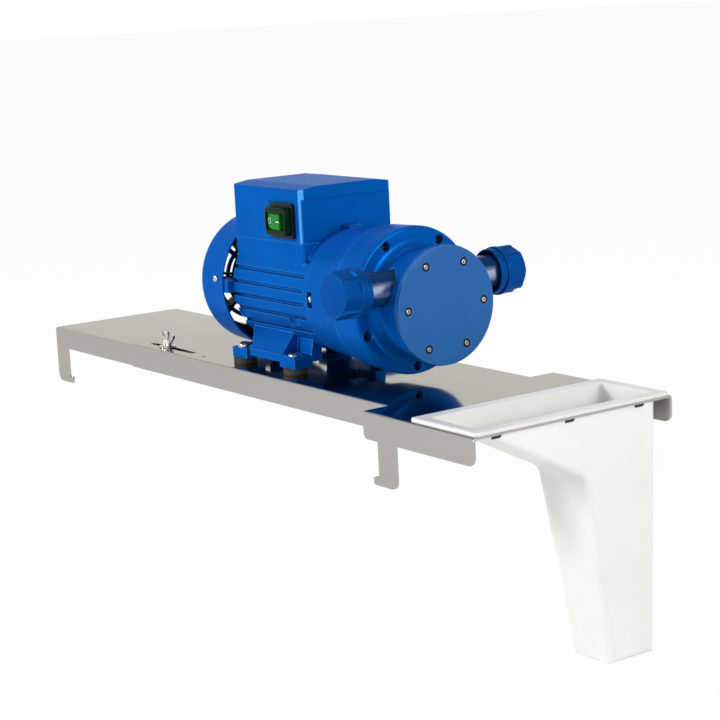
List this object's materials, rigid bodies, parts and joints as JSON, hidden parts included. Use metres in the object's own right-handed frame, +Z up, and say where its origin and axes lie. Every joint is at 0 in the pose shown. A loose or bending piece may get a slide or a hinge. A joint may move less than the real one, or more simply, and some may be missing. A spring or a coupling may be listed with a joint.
{
  "type": "electric diaphragm pump",
  "caption": "Electric diaphragm pump with a finned motor on an adjustable hook-on steel console, with a moulded holder for a filling nozzle.",
  "frame": {"origin": "on top of the outer carrying rail's seat, under the console's flanges, midway between its two long sides", "axes": "+X along the console towards the nozzle holder, -Y towards the side with the switch, +Z up"},
  "size_m": [0.71, 0.2, 0.372],
  "materials": {
    "sheet_steel": "satin, faint rolling grain",
    "zinc_steel": "bright zinc plate",
    "fitting_steel": "turned and polished",
    "bearing_steel": "ground",
    "blue_casting": "satin paint over a cast surface",
    "blue_plastic": "fine moulded grain",
    "pale_blue_disc": "satin paint",
    "dark_blue_plastic": "matt moulding",
    "white_plastic": "slightly translucent moulding",
    "black_plastic": "matt moulding",
    "green_plastic": "glossy, lit from inside when on",
    "green_cover": "clear green flexible cover",
    "black_rubber": "matt rubber",
    "aluminium": "as cast and machined",
    "core_steel": "stacked sheets",
    "winding_copper": "varnished wire",
    "pale_plastic": "plain moulding"
  },
  "bodies": {
    "console": {"console_plate": "sheet_steel", "nozzle_holder": "white_plastic", "holder_clips": "black_plastic", "rubber_buffers": "black_rubber", "foot_washers": "zinc_steel", "foot_bolts": "zinc_steel", "foot_nuts": "zinc_steel", "motor_frame": "blue_casting", "stator_core": "core_steel", "stator_windings": "winding_copper", "bearing_outer_rings": "bearing_steel", "rear_shield": "blue_casting", "shield_screws": "zinc_steel", "cowl_screws": "zinc_steel", "fan_cowl": "blue_plastic", "terminal_box": "blue_plastic", "box_cover": "blue_plastic", "cover_screws": "zinc_steel", "switch_bezel": "black_plastic", "switch_boot": "green_cover", "switch_body": "black_plastic", "capacitor": "pale_plastic", "terminal_block": "pale_plastic", "cable_gland": "black_plastic", "drive_housing": "blue_casting", "housing_screws": "zinc_steel", "diaphragm_carrier": "blue_casting", "hub_bearing": "bearing_steel", "wobble_plate": "aluminium", "diaphragm": "black_rubber", "piston_discs": "aluminium", "piston_screws": "zinc_steel", "valve_plate": "pale_plastic", "inlet_valves": "black_rubber", "outlet_valves": "black_rubber", "pump_head": "blue_casting", "head_screws": "zinc_steel", "front_cover_seal": "black_rubber", "front_cover": "pale_blue_disc", "front_cover_screws": "zinc_steel", "inlet_fitting": "fitting_steel", "outlet_fitting": "fitting_steel", "fitting_seals": "black_rubber"},
    "slide": {"slide_plate": "sheet_steel", "slide_bolts": "zinc_steel", "slide_washers": "zinc_steel"},
    "wing_nut_near": {"wing_nut_near": "zinc_steel"},
    "wing_nut_far": {"wing_nut_far": "zinc_steel"},
    "rotor": {"rotor_core": "core_steel", "motor_shaft": "bearing_steel", "shaft_key": "bearing_steel", "bearing_inner_rings": "bearing_steel", "bearing_balls": "bearing_steel", "cooling_fan": "black_plastic", "drive_hub": "core_steel"},
    "rocker": {"switch_rocker": "green_plastic"},
    "cap_near_lift": {"cap_seal_near": "black_rubber"},
    "cap_near": {"port_cap_near": "dark_blue_plastic"},
    "cap_far_lift": {"cap_seal_far": "black_rubber"},
    "cap_far": {"port_cap_far": "dark_blue_plastic"}
  },
  "joints": [
    {"name": "slide_adjust", "type": "slide", "parent": "console", "child": "slide", "axis": [1, 0, 0], "range_m": [-0.025, 0.045]},
    {"name": "wing_nut_near_turn", "type": "hinge", "parent": "slide", "child": "wing_nut_near", "pos_m": [-0.373, -0.0595, 0.0236], "axis": [0, 0, 1], "continuous": true},
    {"name": "wing_nut_far_turn", "type": "hinge", "parent": "slide", "child": "wing_nut_far", "pos_m": [-0.373, 0.0595, 0.0236], "axis": [0, 0, 1], "continuous": true},
    {"name": "rotor_spin", "type": "hinge", "parent": "console", "child": "rotor", "pos_m": [-0.203, 0, 0.09], "axis": [1, 0, 0], "continuous": true},
    {"name": "rocker_tilt", "type": "hinge", "parent": "console", "child": "rocker", "pos_m": [-0.181, -0.0465, 0.1535], "axis": [0, 0, 1], "range_deg": [0, 18]},
    {"name": "cap_near_travel", "type": "slide", "parent": "console", "child": "cap_near_lift", "axis": [0, -1, 0], "range_m": [0, 0.0115]},
    {"name": "cap_near_turn", "type": "hinge", "parent": "cap_near_lift", "child": "cap_near", "pos_m": [-0.0473, -0.08, 0.107], "axis": [0, -1, 0], "range_deg": [0, 1790]},
    {"name": "cap_far_travel", "type": "slide", "parent": "console", "child": "cap_far_lift", "axis": [0, 1, 0], "range_m": [0, 0.0115]},
    {"name": "cap_far_turn", "type": "hinge", "parent": "cap_far_lift", "child": "cap_far", "pos_m": [-0.0473, 0.08, 0.107], "axis": [0, 1, 0], "range_deg": [0, 1790]}
  ],
  "couplings": [
    {"joint": "cap_near_travel", "follows": "cap_near_turn", "m_per_rad": 0.00036749},
    {"joint": "cap_far_travel", "follows": "cap_far_turn", "m_per_rad": 0.00036749}
  ]
}
